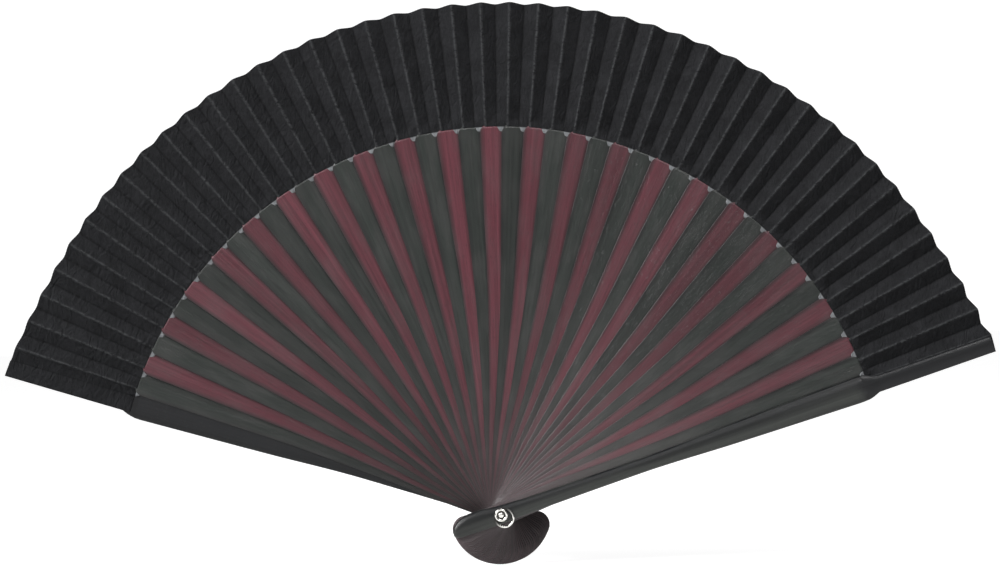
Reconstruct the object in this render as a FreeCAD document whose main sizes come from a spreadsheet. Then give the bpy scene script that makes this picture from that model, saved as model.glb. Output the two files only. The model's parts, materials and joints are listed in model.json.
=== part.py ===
import FreeCAD, Part
import math
import os

import Sketcher
from FreeCAD import Placement, Rotation, Vector

# A folding fan: 43 thin flat ribs between two thicker guard sticks, all turning on one rivet,
# with a pleated cloth leaf glued to the slips at their upper ends. Millimetres, +Z up. The front
# faces -Y, the rivet's axis is the Y axis and the origin is at the middle of the stack. The fan
# stands open: the rear guard leans left, the front guard leans right, and each rib lies one level
# in front of its left-hand neighbour. A stick is drawn upright, with its length along Z and the
# rivet at its own origin, and is then leaned about the rivet.

DIMENSIONS = [
    ("rib_total", 43, "ribs between the guards"),
    ("fan_spread", 144.5, "angle between the two guards, degrees"),
    ("level_step", 0.48, "distance from one rib's level to the next"),
    ("blade_thickness", 0.40, "thickness of a rib"),
    ("hole_radius", 1.45, "rivet hole in every stick"),
    ("shank_radius", 1.40, "rivet shank"),
    ("tail_depth", 13.5, "depth below the rivet where a tail starts to round off"),
    ("tail_tip", 21.0, "depth of a tail's tip below the rivet"),
    ("rib_tail_width", 10.4, "rib width at the tail's rounding"),
    ("rib_rivet_width", 9.2, "rib width at the rivet"),
    ("rib_collar_height", 27.0, "height of the collar"),
    ("rib_collar_width", 8.6, "rib width at the collar"),
    ("rib_neck_height", 54.0, "height of the neck"),
    ("rib_neck_width", 7.0, "rib width at the neck"),
    ("rib_waist_height", 89.0, "height of the waist"),
    ("rib_waist_width", 6.2, "rib width at the waist"),
    ("rib_shoulder_height", 156.2, "height where the shoulder starts to round off"),
    ("rib_shoulder_width", 9.3, "rib width at the shoulder"),
    ("rib_top_height", 159.7, "top of the shoulder"),
    ("rib_top_width", 3.8, "flat top of the shoulder"),
    ("slip_root_height", 158.6, "where the slip starts, inside the blade"),
    ("slip_root_width", 1.4, "slip width at its root"),
    ("slip_root_face", -0.03, "front face of the slip's root from the blade's middle"),
    ("slip_root_back", 0.12, "back face of the slip's root from the blade's middle"),
    ("slip_full_height", 164.0, "where the slip has its full width and tilt"),
    ("slip_width", 2.5, "slip width"),
    ("slip_tip_height", 206.0, "top of a rib's slip"),
    ("slip_tip_width", 2.2, "slip width at its tip"),
    ("slip_face", 0.02, "front face of the slip from the blade's middle"),
    ("slip_back", 0.20, "back face of the slip from the blade's middle"),
    ("first_tilt", 10.4, "tilt of a pleat at the leaf's inner edge, degrees"),
    ("full_tilt", 22.0, "tilt of slips and pleats over the rest of the leaf, degrees"),
    ("guard_gap", 0.08, "gap between a guard and the rib beside it"),
    ("guard_thickness", 2.4, "thickness of a guard"),
    ("guard_edge_radius", 0.9, "rounding of a guard's outer edges"),
    ("guard_tail_width", 10.4, "guard width at the tail's rounding"),
    ("guard_rivet_width", 7.4, "guard width at the rivet"),
    ("guard_collar_height", 23.0, "height of the guard's collar"),
    ("guard_collar_width", 6.2, "guard width at the collar"),
    ("guard_neck_height", 60.0, "height of the guard's neck"),
    ("guard_neck_width", 5.8, "guard width at the neck"),
    ("guard_waist_height", 100.0, "height of the guard's waist"),
    ("guard_waist_width", 8.2, "guard width at the waist"),
    ("guard_shoulder_height", 154.0, "height where the guard's shoulder starts to round off"),
    ("guard_shoulder_width", 10.8, "guard width at the shoulder"),
    ("guard_top_height", 162.7, "top of the guard's shoulder"),
    ("guard_top_width", 6.8, "guard width at the top of the shoulder"),
    ("rebate_height", 157.0, "where the rebate for the leaf starts"),
    ("rebate_depth", 1.3, "depth of the rebate in the guard's inner face"),
    ("guard_slip_root", 160.0, "lower end of the guard's slip"),
    ("guard_slip_outer", 3.4, "guard slip's reach to the outer side"),
    ("guard_slip_inner", 3.0, "guard slip's reach to the leaf's side"),
    ("guard_slip_thickness", 0.8, "thickness of the guard's slip"),
    ("guard_slip_tip", 212.6, "top of a guard's slip"),
    ("leaf_inner", 160.4, "inner radius of the leaf"),
    ("leaf_outer", 209.7, "outer radius of the leaf"),
    ("leaf_rise", 3.2, "extra radius at the leaf's two ends"),
    ("leaf_rise_angle", 14.0, "angle over which the leaf rises at each end, degrees"),
    ("leaf_thickness", 0.10, "cloth thickness"),
    ("leaf_level", -0.085, "middle of the cloth from the blade's middle"),
    ("leaf_gap", 0.03, "gap between the cloth and a guard's slip"),
    ("end_crease", 3.2, "distance of the end panel's crease from the guard's middle"),
    ("end_edge", 3.6, "distance of the leaf's end from the guard's middle"),
    ("recess_radius", 3.4, "recess for the washer in the rear guard"),
    ("recess_depth", 0.9, "depth of that recess"),
    ("washer_radius", 3.1, "outer radius of the washer"),
    ("washer_thickness", 0.3, "thickness of the washer"),
    ("cap_radius", 2.3, "radius of the rivet's rear cap"),
    ("cap_thickness", 0.5, "thickness of the rear cap"),
    ("cap_socket", 0.2, "depth of the cap's socket for the shank"),
    ("head_radius", 2.7, "radius of the rivet's front head"),
    ("head_thickness", 0.9, "thickness of the front head"),
    ("head_lip", 0.7, "width of the head's raised rim"),
    ("head_hollow", 0.45, "depth of the hollow inside the rim"),
    ("knob_radius", 0.9, "radius of the knob in the hollow"),
    ("head_gap", 1.1, "gap under the head, where the ring hangs"),
    ("wire_radius", 0.45, "wire of the tassel ring"),
    ("ring_radius", 3.65, "middle radius of the tassel ring"),
    ("ring_hang", 1.76, "distance of the ring's middle from the rivet's axis"),
    ("ring_lean", 45.0, "lean of the hanging ring from straight down, degrees"),
    ("ring_gap", 0.05, "gap between the ring and the front guard"),
]

doc = FreeCAD.newDocument("folding_fan")


def make_sheet():
    """The driving dimensions, one row each: what it is, then the value with its alias."""
    made = doc.addObject("Spreadsheet::Sheet", "Dimensions")
    for row, (alias, value, meaning) in enumerate(DIMENSIONS, start=1):
        made.set(f"A{row}", meaning)
        made.set(f"B{row}", str(value))
        made.setAlias(f"B{row}", alias)
    doc.recompute()
    return made


sheet = make_sheet()


def size(alias):
    """A dimension's value, read from the sheet."""
    return float(getattr(sheet, alias))


def plane(body, role):
    """One of a body's own origin planes."""
    return next(f for f in body.Origin.OriginFeatures if f.Role == role)


def new_body(name):
    """A PartDesign body whose label is the node's name."""
    body = doc.addObject("PartDesign::Body", name)
    body.Label = name
    return body


def new_sketch(body, name, role, offset=None):
    """A sketch on one of the body's origin planes, moved by an optional offset."""
    sketch = body.newObject("Sketcher::SketchObject", name)
    sketch.AttachmentSupport = [(plane(body, role), "")]
    sketch.MapMode = "FlatFace"
    if offset is not None:
        sketch.AttachmentOffset = offset
    return sketch


def bind(sketch, constraint, expression):
    """Add a constraint whose value comes from the sheet."""
    index = sketch.addConstraint(constraint)
    sketch.setExpression(f"Constraints[{index}]", expression)


def end_at(sketch, piece, point):
    """Which end of a sketch piece (1 or 2) lies at the point."""
    near = min((1, 2), key=lambda end: (sketch.getPoint(piece, end) - point).Length)
    return near


def rectangle(sketch, low, high):
    """A closed rectangle from four lines, in order: bottom, right, top, left."""
    corners = [low, Vector(high.x, low.y, 0), high, Vector(low.x, high.y, 0)]
    first = sketch.GeometryCount
    for start, end in zip(corners, corners[1:] + corners[:1]):
        sketch.addGeometry(Part.LineSegment(start, end))
    for side in range(4):
        sketch.addConstraint(
            Sketcher.Constraint("Coincident", first + side, 2, first + (side + 1) % 4, 1))
    for side, kind in enumerate(("Horizontal", "Vertical", "Horizontal", "Vertical")):
        sketch.addConstraint(Sketcher.Constraint(kind, first + side))
    return first


def stick_outline(sketch, prefix, names):
    """The outline of a stick: a round tail, straight stretches between the named stations,
    round shoulders and a flat top, symmetric about the stick's middle line."""
    heights = [-size("tail_depth"), 0.0] + [size(f"{prefix}_{n}_height") for n in names]
    widths = [size(f"{prefix}_{n}_width") for n in ("tail", "rivet") + names]
    left = [Vector(-w / 2, h, 0) for w, h in zip(widths, heights)]
    right = [Vector(w / 2, h, 0) for w, h in zip(widths, heights)]
    top_left = Vector(-size(f"{prefix}_top_width") / 2, size(f"{prefix}_top_height"), 0)
    top_right = Vector(-top_left.x, top_left.y, 0)

    def shoulder(side, top):
        """The round corner from a side's last station to the flat top."""
        bend = math.sqrt(0.5)
        middle = Vector(top.x + (side.x - top.x) * bend, side.y + (top.y - side.y) * bend, 0)
        return Part.Arc(side, middle, top)

    pieces = [Part.LineSegment(a, b) for a, b in zip(left, left[1:])]
    pieces.append(shoulder(left[-1], top_left))
    pieces.append(Part.LineSegment(top_left, top_right))
    pieces.append(shoulder(right[-1], top_right))
    pieces.extend(Part.LineSegment(b, a) for a, b in reversed(list(zip(right, right[1:]))))
    pieces.append(Part.Arc(right[0], Vector(0, -size("tail_tip"), 0), left[0]))
    joints = left + [top_left, top_right] + right[::-1]
    for piece in pieces:
        sketch.addGeometry(piece)
    for index, point in enumerate(joints):
        before = index - 1 if index else len(pieces) - 1
        sketch.addConstraint(Sketcher.Constraint(
            "Coincident", before, end_at(sketch, before, point),
            index, end_at(sketch, index, point)))
    steps = len(left) - 1
    last_side = len(pieces) - 2
    for index, name in enumerate(("tail", "rivet") + names):
        left_end = (index, 1) if index < steps else (index - 1, 2)
        right_end = (last_side - index, 2) if index < steps else (last_side - index + 1, 1)
        sketch.addConstraint(Sketcher.Constraint("Symmetric", *left_end, *right_end, -2))
        bind(sketch, Sketcher.Constraint("DistanceX", *left_end, *right_end, widths[index]),
             f"Dimensions.{prefix}_{name}_width")
        if name == "rivet":
            sketch.addConstraint(Sketcher.Constraint("PointOnObject", *left_end, -1))
        elif name == "tail":
            bind(sketch, Sketcher.Constraint("DistanceY", *left_end, -1, 1, size("tail_depth")),
                 "Dimensions.tail_depth")
        else:
            bind(sketch, Sketcher.Constraint("DistanceY", -1, 1, *left_end, heights[index]),
                 f"Dimensions.{prefix}_{name}_height")
    hole = sketch.addGeometry(Part.Circle(Vector(0, 0, 0), Vector(0, 0, 1), size("hole_radius")))
    sketch.addConstraint(Sketcher.Constraint("Coincident", hole, 3, -1, 1))
    bind(sketch, Sketcher.Constraint("Radius", hole, size("hole_radius")),
         "Dimensions.hole_radius")


def slip_section(body, index, station, layer, turns):
    """A cross-section of a rib's slip: a thin rectangle, turned about the stick's length.
    The station names its height and width cells, and the layer its front and back faces."""
    tilt = size("full_tilt") if turns else 0.0
    offset = Placement(Vector(0, 0, size(f"{station}_height")), Rotation(Vector(0, 0, 1), tilt))
    sketch = new_sketch(body, f"{station}_section_{index:02d}", "XY_Plane", offset)
    width = "slip_width" if station == "slip_full" else f"{station}_width"
    half = size(width) / 2
    face = size(f"{layer}_face")
    back = size(f"{layer}_back")
    first = rectangle(sketch, Vector(-half, face, 0), Vector(half, back, 0))
    bind(sketch, Sketcher.Constraint("DistanceX", -1, 1, first + 1, 1, half),
         f"Dimensions.{width} / 2")
    bind(sketch, Sketcher.Constraint("DistanceX", first, 1, -1, 1, half),
         f"Dimensions.{width} / 2")
    bind(sketch, Sketcher.Constraint("DistanceY", first + 1, 1, first + 1, 2, back - face),
         f"Dimensions.{layer}_back - Dimensions.{layer}_face")
    bind(sketch, Sketcher.Constraint("DistanceY", -1, 1, first + 2, 1, back),
         f"Dimensions.{layer}_back")
    sketch.setExpression("AttachmentOffset.Base.z", f"Dimensions.{station}_height")
    if turns:
        sketch.setExpression("AttachmentOffset.Rotation.Angle", "Dimensions.full_tilt")
    return sketch


def lean_expression(index):
    """A stick's place: its level along the rivet, and its lean about the rivet."""
    level = f"((Dimensions.rib_total + 1) / 2 - {index}) * Dimensions.level_step"
    angle = f"Dimensions.fan_spread * (0.5 - {index} / (Dimensions.rib_total + 1))"
    return f"placement(vector(0; {level}; 0); rotation(vector(0; -1; 0); {angle}))"


def make_rib(index):
    """One rib: a thin blade with its rivet hole, and a twisted slip that carries the leaf."""
    body = new_body(f"rib_{index:02d}")
    outline = new_sketch(body, f"rib_outline_{index:02d}", "XZ_Plane")
    stick_outline(outline, "rib", ("collar", "neck", "waist", "shoulder"))
    blade = body.newObject("PartDesign::Pad", f"rib_blade_{index:02d}")
    blade.Profile = outline
    blade.Midplane = True
    blade.setExpression("Length", "Dimensions.blade_thickness")
    sections = [
        slip_section(body, index, "slip_root", "slip_root", False),
        slip_section(body, index, "slip_full", "slip", True),
        slip_section(body, index, "slip_tip", "slip", True),
    ]
    slip = body.newObject("PartDesign::AdditiveLoft", f"rib_slip_{index:02d}")
    slip.Profile = sections[0]
    slip.Sections = sections[1:]
    slip.Ruled = True
    body.Tip = slip
    body.setExpression("Placement", lean_expression(index))
    return body


def make_guard(name, index, outward):
    """A guard stick. Its inner face is on its own XZ plane and its thickness goes outward:
    +1 towards +Y for the rear guard, -1 towards -Y for the front one. The leaf's side is the
    side of the open fan: +X on the rear guard, -X on the front one."""
    body = new_body(name)
    outline = new_sketch(body, f"{name}_outline", "XZ_Plane")
    stick_outline(outline, "guard", ("collar", "neck", "waist", "shoulder"))
    blade = body.newObject("PartDesign::Pad", f"{name}_blade")
    blade.Profile = outline
    blade.Reversed = outward > 0
    blade.setExpression("Length", "Dimensions.guard_thickness")
    doc.recompute()

    rounded = body.newObject("PartDesign::Fillet", f"{name}_edges")
    outer = [f"Edge{n}" for n, edge in enumerate(blade.Shape.Edges, start=1)
             if is_outer_edge(edge, outward)]
    rounded.Base = (blade, outer)
    rounded.setExpression("Radius", "Dimensions.guard_edge_radius")
    doc.recompute()

    rebate_sketch = new_sketch(body, f"{name}_rebate_outline", "XZ_Plane")
    reach = size("guard_shoulder_width")
    first = rectangle(rebate_sketch, Vector(-reach, size("rebate_height"), 0),
                      Vector(reach, size("guard_top_height") + reach, 0))
    bind(rebate_sketch,
         Sketcher.Constraint("DistanceY", -1, 1, first, 1, size("rebate_height")),
         "Dimensions.rebate_height")
    rebate = body.newObject("PartDesign::Pocket", f"{name}_rebate")
    rebate.Profile = rebate_sketch
    rebate.Reversed = outward < 0
    rebate.setExpression("Length", "Dimensions.rebate_depth")
    doc.recompute()

    depth = Vector(0, 0, -outward * size("rebate_depth"))
    slip_sketch = new_sketch(body, f"{name}_slip_outline", "XZ_Plane",
                             Placement(depth, Rotation()))
    sides = sorted((-outward * size("guard_slip_outer"), outward * size("guard_slip_inner")))
    first = rectangle(slip_sketch, Vector(sides[0], size("guard_slip_root"), 0),
                      Vector(sides[1], size("guard_slip_tip"), 0))
    bind(slip_sketch, Sketcher.Constraint("DistanceY", -1, 1, first + 2, 1,
                                          size("guard_slip_tip")),
         "Dimensions.guard_slip_tip")
    bind(slip_sketch, Sketcher.Constraint("DistanceY", -1, 1, first, 1,
                                          size("guard_slip_root")),
         "Dimensions.guard_slip_root")
    slip = body.newObject("PartDesign::Pad", f"{name}_slip")
    slip.Profile = slip_sketch
    slip.Reversed = outward > 0
    slip.setExpression("Length", "Dimensions.guard_slip_thickness")
    body.Tip = slip
    doc.recompute()

    if outward > 0:
        face = Placement(Vector(0, 0, -size("guard_thickness")), Rotation())
        recess_sketch = new_sketch(body, f"{name}_recess_outline", "XZ_Plane", face)
        circle = recess_sketch.addGeometry(
            Part.Circle(Vector(0, 0, 0), Vector(0, 0, 1), size("recess_radius")))
        recess_sketch.addConstraint(Sketcher.Constraint("Coincident", circle, 3, -1, 1))
        bind(recess_sketch, Sketcher.Constraint("Radius", circle, size("recess_radius")),
             "Dimensions.recess_radius")
        recess = body.newObject("PartDesign::Pocket", f"{name}_recess")
        recess.Profile = recess_sketch
        recess.Reversed = True
        recess.setExpression("Length", "Dimensions.recess_depth")
        body.Tip = recess

    beside = f"({outward} * (Dimensions.blade_thickness / 2 + Dimensions.guard_gap))"
    near = index + outward
    level = f"((Dimensions.rib_total + 1) / 2 - {near}) * Dimensions.level_step + {beside}"
    angle = f"Dimensions.fan_spread * (0.5 - {index} / (Dimensions.rib_total + 1))"
    body.setExpression(
        "Placement", f"placement(vector(0; {level}; 0); rotation(vector(0; -1; 0); {angle}))")
    return body


def is_outer_edge(edge, outward):
    """True for the outline's edges on the guard's outer face, but not for the rivet hole's."""
    box = edge.BoundBox
    face = outward * size("guard_thickness")
    flat = abs(box.YMin - face) < 1e-6 and abs(box.YMax - face) < 1e-6
    hole = box.DiagonalLength < 3 * size("hole_radius") and abs(box.Center.z) < 1e-3
    return flat and not hole


def guard_face(outward):
    """The Y of a guard's inner face."""
    reach = (size("rib_total") - 1) / 2 * size("level_step")
    return outward * (reach + size("blade_thickness") / 2 + size("guard_gap"))


def make_post():
    """The rivet's post: a plain shank and a front head with a raised rim and a small knob."""
    body = new_body("rivet_post")
    sketch = new_sketch(body, "post_profile", "XY_Plane")
    head_back = guard_face(-1) - size("guard_thickness") - size("head_gap")
    head_front = head_back - size("head_thickness")
    hollow = head_front + size("head_hollow")
    rear = guard_face(1) + size("guard_thickness") - size("recess_depth")
    rear += size("washer_thickness") + size("cap_socket")
    rim = size("head_radius") - size("head_lip")
    profile = [
        (0, rear), (size("shank_radius"), rear), (size("shank_radius"), head_back),
        (size("head_radius"), head_back), (size("head_radius"), head_front),
        (rim, head_front), (rim, hollow), (size("knob_radius"), hollow),
        (size("knob_radius"), head_front), (0, head_front),
    ]
    closed_outline(sketch, profile)
    bind(sketch, Sketcher.Constraint("DistanceX", -1, 1, 1, 1, size("shank_radius")),
         "Dimensions.shank_radius")
    turned(body, "post_turned", sketch)
    return body


def make_cap():
    """The rivet's rear cap, pressed over the end of the shank."""
    body = new_body("rivet_cap")
    sketch = new_sketch(body, "cap_profile", "XY_Plane")
    seat = guard_face(1) + size("guard_thickness") - size("recess_depth")
    seat += size("washer_thickness")
    back = seat + size("cap_thickness")
    socket = seat + size("cap_socket")
    profile = [
        (0, back), (0, socket), (size("shank_radius"), socket), (size("shank_radius"), seat),
        (size("cap_radius"), seat), (size("cap_radius"), back - size("cap_socket")),
        (size("cap_radius") - size("cap_socket"), back),
    ]
    closed_outline(sketch, profile)
    turned(body, "cap_turned", sketch)
    return body


def make_washer():
    """The flat washer between the rear guard and the cap."""
    body = new_body("rear_washer")
    sketch = new_sketch(body, "washer_profile", "XY_Plane")
    seat = guard_face(1) + size("guard_thickness") - size("recess_depth")
    first = rectangle(sketch, Vector(size("hole_radius"), seat, 0),
                      Vector(size("washer_radius"), seat + size("washer_thickness"), 0))
    bind(sketch, Sketcher.Constraint("DistanceX", -1, 1, first, 1, size("hole_radius")),
         "Dimensions.hole_radius")
    bind(sketch, Sketcher.Constraint("DistanceX", -1, 1, first + 1, 1, size("washer_radius")),
         "Dimensions.washer_radius")
    turned(body, "washer_turned", sketch)
    return body


def closed_outline(sketch, profile):
    """A closed outline of straight lines through the profile's points."""
    points = [Vector(x, y, 0) for x, y in profile]
    for start, end in zip(points, points[1:] + points[:1]):
        sketch.addGeometry(Part.LineSegment(start, end))
    for index in range(len(points)):
        sketch.addConstraint(
            Sketcher.Constraint("Coincident", index, 2, (index + 1) % len(points), 1))


def turned(body, name, sketch):
    """Revolve a profile drawn on the XY plane about the rivet's axis."""
    solid = body.newObject("PartDesign::Revolution", name)
    solid.Profile = sketch
    solid.ReferenceAxis = (sketch, ["V_Axis"])
    solid.Angle = 360.0
    body.Tip = solid


def make_ring():
    """The loose wire ring on the rivet's neck, where a tassel is tied."""
    ring = doc.addObject("Part::Torus", "tassel_ring")
    ring.Label = "tassel_ring"
    ring.setExpression("Radius1", "Dimensions.ring_radius")
    ring.setExpression("Radius2", "Dimensions.wire_radius")
    lean = math.radians(size("ring_lean"))
    level = guard_face(-1) - size("guard_thickness") - size("ring_gap") - size("wire_radius")
    place = Vector(size("ring_hang") * math.sin(lean), level, -size("ring_hang") * math.cos(lean))
    ring.Placement = Placement(place, Rotation(Vector(1, 0, 0), 90))
    return ring


def leaf_radius(lean):
    """The leaf's outer radius at a lean in degrees: it rises a little towards both ends."""
    start = size("fan_spread") / 2 - size("leaf_rise_angle")
    share = min(max((abs(lean) - start) / size("leaf_rise_angle"), 0.0), 1.0)
    return size("leaf_outer") + size("leaf_rise") * share * share


def leaf_creases():
    """The leaf's lines from left to right, each a list of points from the inner edge out: for
    every stick its left crease, its middle line and its right crease. A stick's panel is half
    as wide as the pitch and is tilted with its left edge forward. The panels at the two ends
    lie flat in the guards' rebates."""
    sticks = int(size("rib_total")) + 1
    pitch = size("fan_spread") / sticks
    floor = size("rebate_depth") - size("leaf_gap") - size("leaf_thickness") / 2
    creases = []

    def leaned(along, across, level, lean):
        """A point of a stick's own upright frame, leaned about the rivet."""
        turn = Rotation(Vector(0, -1, 0), lean)
        return turn.multVec(Vector(across, 0, along)) + Vector(0, level, 0)

    for index in range(sticks + 1):
        lean = size("fan_spread") / 2 - index * pitch
        rows = [(size("leaf_inner"), size("first_tilt")),
                (size("slip_full_height"), size("full_tilt")),
                (leaf_radius(lean), size("full_tilt"))]
        for side in (-1, 0, 1):
            crease = []
            for radius, tilt in rows:
                half = radius * math.tan(math.radians(pitch / 4))
                across = side * half
                level = (sticks / 2 - index) * size("level_step") + size("leaf_level")
                level += across * math.tan(math.radians(tilt))
                if index in (0, sticks):
                    outward = 1 if index == 0 else -1
                    edge = "end_crease" if side == outward else "end_edge"
                    across = side * size(edge)
                    level = guard_face(outward) + outward * floor
                crease.append(leaned(radius, across, level, lean))
            creases.append(crease)
    return creases


def make_leaf():
    """The pleated cloth leaf, as one closed solid of flat triangles. Its shape follows from the
    crease lines, which no feature draws, so it is put together from faces."""
    creases = leaf_creases()
    half = Vector(0, size("leaf_thickness") / 2, 0)
    front = [[point - half for point in crease] for crease in creases]
    back = [[point + half for point in crease] for crease in creases]
    faces = []

    def add_quad(a, b, c, d):
        """A four-cornered patch as two triangles, split from its second to its last corner."""
        for corners in ((a, b, d), (b, c, d)):
            faces.append(Part.Face(Part.makePolygon(list(corners) + [corners[0]])))

    last = len(creases[0]) - 1
    for here, there in zip(range(len(creases)), range(1, len(creases))):
        for row in range(last):
            add_quad(front[here][row], front[there][row],
                     front[there][row + 1], front[here][row + 1])
            add_quad(back[here][row], back[here][row + 1],
                     back[there][row + 1], back[there][row])
        for row in (0, last):
            add_quad(front[here][row], back[here][row], back[there][row], front[there][row])
    for crease in (0, len(creases) - 1):
        for row in range(last):
            add_quad(front[crease][row], front[crease][row + 1],
                     back[crease][row + 1], back[crease][row])
    shell = Part.Shell(faces)
    solid = Part.Solid(shell)
    if solid.Volume < 0:
        solid = solid.reversed()
    leaf = doc.addObject("Part::Feature", "leaf")
    leaf.Label = "leaf"
    leaf.Shape = solid
    leaf.Placement = Placement()
    return leaf


def check_objects(parts):
    """Stop if any object failed, or if a part's shape is missing or faulty."""
    failed = [o.Name for o in doc.Objects if "Invalid" in o.State or "Error" in o.State]
    if failed:
        raise RuntimeError(f"failed objects: {failed}")
    for part in parts:
        shape = part.Shape
        if shape.isNull() or not shape.isValid() or len(shape.Solids) != 1:
            raise RuntimeError(f"{part.Label} has a faulty shape")


def main():
    """Build every part, check it and write it to its own file."""
    last = int(size("rib_total")) + 1
    parts = [make_guard("rear_guard", 0, 1)]
    parts += [make_rib(index) for index in range(1, last)]
    parts.append(make_guard("front_guard", last, -1))
    parts += [make_post(), make_cap(), make_washer(), make_ring(), make_leaf()]
    doc.recompute()
    check_objects(parts)
    os.makedirs("parts", exist_ok=True)
    for part in parts:
        part.Shape.exportStep(f"parts/{part.Label}.step")
        print(part.Label, round(part.Shape.Volume, 2), "mm3")


main()
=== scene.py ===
"""Folding fan with forty-three stained ribs, two guards, a pleated cloth leaf and a rivet.

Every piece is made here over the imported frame, in metres, with +Z up and the front
facing -Y. The rivet's axis is the Y axis. A stick is shaped upright in its own plane
and then leaned about the rivet to its place in the spread.
"""

import json
import math
import random

import bpy
from mathutils import Matrix, Vector
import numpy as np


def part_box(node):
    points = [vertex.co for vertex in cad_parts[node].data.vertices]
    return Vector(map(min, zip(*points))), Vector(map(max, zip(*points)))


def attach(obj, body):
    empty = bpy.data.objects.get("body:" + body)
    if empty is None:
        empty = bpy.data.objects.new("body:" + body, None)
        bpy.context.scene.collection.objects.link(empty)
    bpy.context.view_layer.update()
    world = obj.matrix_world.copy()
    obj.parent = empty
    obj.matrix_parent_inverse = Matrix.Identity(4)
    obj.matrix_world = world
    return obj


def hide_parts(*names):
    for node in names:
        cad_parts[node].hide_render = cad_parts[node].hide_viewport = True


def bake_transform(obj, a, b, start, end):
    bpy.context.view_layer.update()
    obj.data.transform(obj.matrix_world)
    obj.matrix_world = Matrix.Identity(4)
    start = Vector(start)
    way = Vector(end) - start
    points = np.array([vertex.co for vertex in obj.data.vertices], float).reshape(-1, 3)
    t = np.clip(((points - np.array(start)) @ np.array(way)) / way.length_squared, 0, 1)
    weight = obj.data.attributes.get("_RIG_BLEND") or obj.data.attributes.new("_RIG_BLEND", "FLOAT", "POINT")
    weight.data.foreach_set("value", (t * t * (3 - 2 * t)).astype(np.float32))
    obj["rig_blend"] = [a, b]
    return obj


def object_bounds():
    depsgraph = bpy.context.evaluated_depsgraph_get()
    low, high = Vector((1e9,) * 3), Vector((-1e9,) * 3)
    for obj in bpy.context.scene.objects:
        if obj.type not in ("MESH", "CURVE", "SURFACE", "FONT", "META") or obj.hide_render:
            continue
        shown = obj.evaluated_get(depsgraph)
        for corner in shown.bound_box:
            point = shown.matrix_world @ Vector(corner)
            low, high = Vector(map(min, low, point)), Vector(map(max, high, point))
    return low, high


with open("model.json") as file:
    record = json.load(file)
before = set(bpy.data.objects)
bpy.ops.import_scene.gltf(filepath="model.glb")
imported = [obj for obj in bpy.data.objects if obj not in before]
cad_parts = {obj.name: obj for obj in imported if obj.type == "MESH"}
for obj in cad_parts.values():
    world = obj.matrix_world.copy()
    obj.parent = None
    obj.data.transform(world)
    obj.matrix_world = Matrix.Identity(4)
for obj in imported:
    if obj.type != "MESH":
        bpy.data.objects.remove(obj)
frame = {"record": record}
CAD_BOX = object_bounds()

bl_info = {
    "name": "Sandalwood Folding Fan",
    "version": (1, 0, 0),
    "blender": (4, 5, 0),
    "location": "View3D > Sidebar > Folding Fan",
    "description": "Ribs, guards, pleated leaf, rivet and stage of a folding hand fan",
    "category": "Object",
}

MM = 0.001
BEHAVIOUR = frame["record"]["behaviour"]
SWING = next(j for j in BEHAVIOUR["joints"] if j["name"] == "front_guard_swing")
RIBS = [body for body in BEHAVIOUR["bodies"] if body.startswith("rib_")]
PITCHES = len(RIBS) + 1
BACK_MOST, FRONT_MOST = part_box(RIBS[0]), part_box(RIBS[-1])
LAYER = (BACK_MOST[0][1] - FRONT_MOST[0][1]) / (len(RIBS) - 1)
CREASE = math.radians(42)


# ---------------------------------------------------------------- settings


def size(name, description, default):
    """A length in metres that is set in the sidebar."""
    return bpy.props.FloatProperty(
        name=name, description=description, default=default, unit="LENGTH", precision=5
    )


def colour(name, description, default):
    """A colour that is set in the sidebar."""
    return bpy.props.FloatVectorProperty(
        name=name, description=description, default=default, size=3, min=0, max=1, subtype="COLOR"
    )


def angle(name, description, default):
    """An angle that is set in the sidebar."""
    return bpy.props.FloatProperty(
        name=name, description=description, default=default, unit="ROTATION"
    )


class FanStickSettings(bpy.types.PropertyGroup):
    """Sizes of the ribs and of the spread they stand in."""

    spread: angle("Spread", "Angle between the two guards", math.radians(SWING["range_deg"][1]))
    layer: size("Layer", "Distance from one rib's level to the next one's", LAYER)
    thickness: size("Thickness", "Thickness of a rib's blade", 0.40 * MM)
    tail: size("Tail width", "Width of a rib's rounded tail", 10.4 * MM)
    waist: size("Waist width", "Width of a rib at its narrowest", 6.2 * MM)
    shoulder: size("Shoulder width", "Width of a rib below the leaf", 9.3 * MM)
    hole: size("Rivet hole", "Radius of the hole on the rivet", 1.45 * MM)


class FanGuardSettings(bpy.types.PropertyGroup):
    """Sizes of the two guards."""

    inner: size("Inner face", "Level of the face that lies on the ribs", 10.36 * MM)
    outer: size("Outer face", "Level of the crowned outer face", 12.76 * MM)
    waist: size("Waist width", "Width of a guard at its narrowest", 5.8 * MM)
    shoulder: size("Shoulder width", "Width of a guard below the leaf", 10.8 * MM)


class FanLeafSettings(bpy.types.PropertyGroup):
    """Sizes of the pleated leaf."""

    inner: size("Inner radius", "From the rivet to the leaf's inner edge", 159.05 * MM)
    outer: size("Outer radius", "From the rivet to the leaf's outer edge", 209.7 * MM)
    flare: size("Flare", "How much further the leaf reaches at its two ends", 3.2 * MM)
    scallop: size("Scallop", "How far the edge stands out at each front fold", 0.4 * MM)
    dip: size("Dip", "How much lower the raw edge hangs between two ribs", 2.0 * MM)
    tilt: angle("Fold", "Angle of the pleats to the plane of the ribs", math.radians(22))
    cloth: size("Cloth", "Thickness of the cloth", 0.1 * MM)
    width: size("Flat width", "Width of the sheet that the leaf was cut from", 0.411)
    depth: size("Flat depth", "Depth of the sheet that the leaf was cut from", 0.177)


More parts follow.
